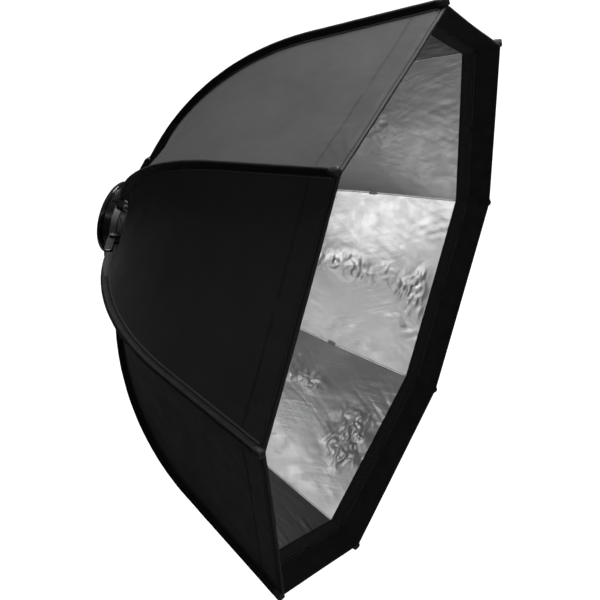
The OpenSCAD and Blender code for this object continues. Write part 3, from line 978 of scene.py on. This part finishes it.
# ---------------------------------------------------------------------------
# Build
# ---------------------------------------------------------------------------
MATERIALS = {
    "canopy_cloth": canopy_cloth(),
    "sleeve_cloth": sleeve_cloth(),
    "silver_lining": silver_lining(),
    "lip_cloth": lip_cloth(),
    "hook_strip": hook_strip(),
    "dark_thread": thread("dark_thread", (0.004, 0.004, 0.0042)),
    "light_thread": thread("light_thread", (0.11, 0.11, 0.112)),
    "pocket_leather": pocket_leather(),
    # Lighter than the cloth: a painted highlight along the sleeves' flange edges
    "sleeve_piping_painted_highlight": thread("sleeve_piping_painted_highlight", (0.032, 0.032, 0.0325)),
    "loop_elastic": thread("loop_elastic", (0.42, 0.42, 0.42)),
    "gloss_black": moulded("gloss_black", (0.006, 0.006, 0.0065), 0.12, 0.22, 300, 0.03),
    "liner_rubber": moulded("liner_rubber", (0.02, 0.02, 0.02), 0.7, 0.85, 700, 0.3, 0.3),
    "matte_ring": turned_metal("matte_ring", (0.17, 0.17, 0.174), 0.42, 0.35),
    "zinc_ring": turned_metal("zinc_ring", (0.5, 0.5, 0.52), 0.35, 1.0),
    "bright_steel": turned_metal("bright_steel", (0.6, 0.6, 0.62), 0.25, 1.0),
    "cast_black": moulded("cast_black", (0.010, 0.010, 0.0105), 0.5, 0.65, 900, 0.3, 0.25),
    "nylon_bush": moulded("nylon_bush", (0.6, 0.6, 0.58), 0.45, 0.6, 500, 0.1),
    "moulded_black": moulded("moulded_black", (0.012, 0.012, 0.013), 0.24, 0.38, 500, 0.06, 0.35),
    "collar_black": turned_metal("collar_black", (0.15, 0.15, 0.154), 0.36, 0.5),
    "rod_fibreglass": fibreglass(),
}

for panel in range(SIDES):
    panel_cloth(panel, MATERIALS["canopy_cloth"], MATERIALS["dark_thread"])
    panel_lining(panel, MATERIALS["silver_lining"])
    panel_lip(panel, MATERIALS["lip_cloth"], MATERIALS["hook_strip"], MATERIALS["light_thread"])
for number in range(1, SIDES + 1):
    rod_sleeve(number, MATERIALS["sleeve_cloth"], MATERIALS["dark_thread"])
    corner_pocket(number, MATERIALS["pocket_leather"])
    inner_seam(number, MATERIALS["silver_lining"], MATERIALS["loop_elastic"])

slot_of = {s["node"]: s["material_slot"] for s in frame["record"]["subparts"]}
for node, carried in frame["nodes"].items():
    finish = MATERIALS.get(slot_of[node])
    if carried.hide_render or finish is None:
        continue
    if not carried.material_slots:
        carried.data.materials.append(finish)
    for slot in carried.material_slots:
        slot.material = finish

# ---------------------------------------------------------------------------
# Stage: a plain pale floor, soft lights and the camera
# ---------------------------------------------------------------------------
FLOOR_DROP = 0.9
VIEW_AZIMUTH = math.radians(29.03)
VIEW_ELEVATION = math.radians(48.71)
VIEW_ROLL = math.radians(-5.01)
VIEW_AIM = Vector((0.3448, -0.0472, 0.0003))
VIEW_DISTANCE = 1.96
VIEW_LENS = 79.36


def pale_floor():
    """White to the camera. It throws back little light, so the cloth beside it stays dark."""
    f = Finish("pale_floor", (0.12, 0.12, 0.12), 0.9)
    f.set(Specular_IOR_Level=0.0)
    f.tint(f.noise(2, 3), 0.98, 1.02)
    path = f.node("ShaderNodeLightPath")
    glow = f.range(path.outputs["Is Camera Ray"], 0.0, 1.0)
    f.set(Emission_Color=(1, 1, 1, 1))
    f.link(glow, f.shader.inputs["Emission Strength"])
    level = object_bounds()[0].z - FLOOR_DROP
    size = 14.0
    corners = [(-size, -size, level), (size, -size, level), (size, size, level), (-size, size, level)]
    floor = mesh_object("floor", corners, [(0, 1, 2, 3)], [f.material])
    floor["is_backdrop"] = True


def area_light(name, place, aim, size, watts):
    data = bpy.data.lights.new(name, "AREA")
    data.shape = "RECTANGLE"
    data.size, data.size_y = size
    data.energy = watts
    made = bpy.data.objects.new(name, data)
    made.location = place
    made.rotation_euler = (Vector(aim) - Vector(place)).to_track_quat("-Z", "Y").to_euler()
    bpy.context.scene.collection.objects.link(made)


def white_room(seen, lit):
    """White to the camera, and a softer grey for what it lights."""
    world = bpy.data.worlds.new("room")
    bpy.context.scene.world = world
    world.use_nodes = True
    tree = world.node_tree
    background = tree.nodes["Background"]
    path = tree.nodes.new("ShaderNodeLightPath")
    strength = tree.nodes.new("ShaderNodeMapRange")
    strength.inputs["To Min"].default_value = lit
    strength.inputs["To Max"].default_value = seen
    tree.links.new(path.outputs["Is Camera Ray"], strength.inputs["Value"])
    tree.links.new(strength.outputs["Result"], background.inputs["Strength"])
    background.inputs["Color"].default_value = (1, 1, 1, 1)


def camera():
    data = bpy.data.cameras.new("camera")
    data.sensor_width = 36
    data.lens = VIEW_LENS
    data.clip_end = 50
    made = bpy.data.objects.new("camera", data)
    azimuth, elevation = VIEW_AZIMUTH, VIEW_ELEVATION
    back = Vector(
        (
            math.sin(azimuth) * math.cos(elevation),
            -math.cos(azimuth) * math.cos(elevation),
            math.sin(elevation),
        )
    )
    level = Vector((math.cos(azimuth), math.sin(azimuth), 0))
    right = (Matrix.Rotation(VIEW_ROLL, 3, back) @ level).normalized()
    up = back.cross(right)
    made.matrix_world = Matrix.Translation(VIEW_AIM + VIEW_DISTANCE * back) @ Matrix(
        (right, up, back)
    ).transposed().to_4x4()
    bpy.context.scene.collection.objects.link(made)
    bpy.context.scene.camera = made


pale_floor()
white_room(1.0, 0.06)
area_light("top_key", (-0.1, 1.85, 1.85), (0.2, 0, 0.1), (1.2, 1.2), 240)
area_light("front_fill", (2.0, -1.2, 2.0), (0.35, 0.2, -0.1), (1.2, 1.2), 14.5)
area_light("side_fill", (1.45, -1.75, 0.35), (0.3, 0.3, -0.2), (0.6, 0.6), 2.4)
area_light("low_fill", (0.95, -0.45, -1.2), (0.4, 0.3, 0.15), (0.4, 0.5), 0.7)
area_light("far_fill", (1.4, 0.6, 1.5), (0.4, -0.1, -0.38), (0.5, 0.5), 3.0)
area_light("seam_fill", (1.31, -0.93, 0.09), (0.35, 0.145, -0.35), (0.22, 0.22), 0.4)
area_light("hub_strip", (-0.9, -1.5, 1.9), (0.03, 0, 0), (0.10, 0.7), 2.8)
camera()
bpy.context.scene.view_settings.view_transform = "Standard"
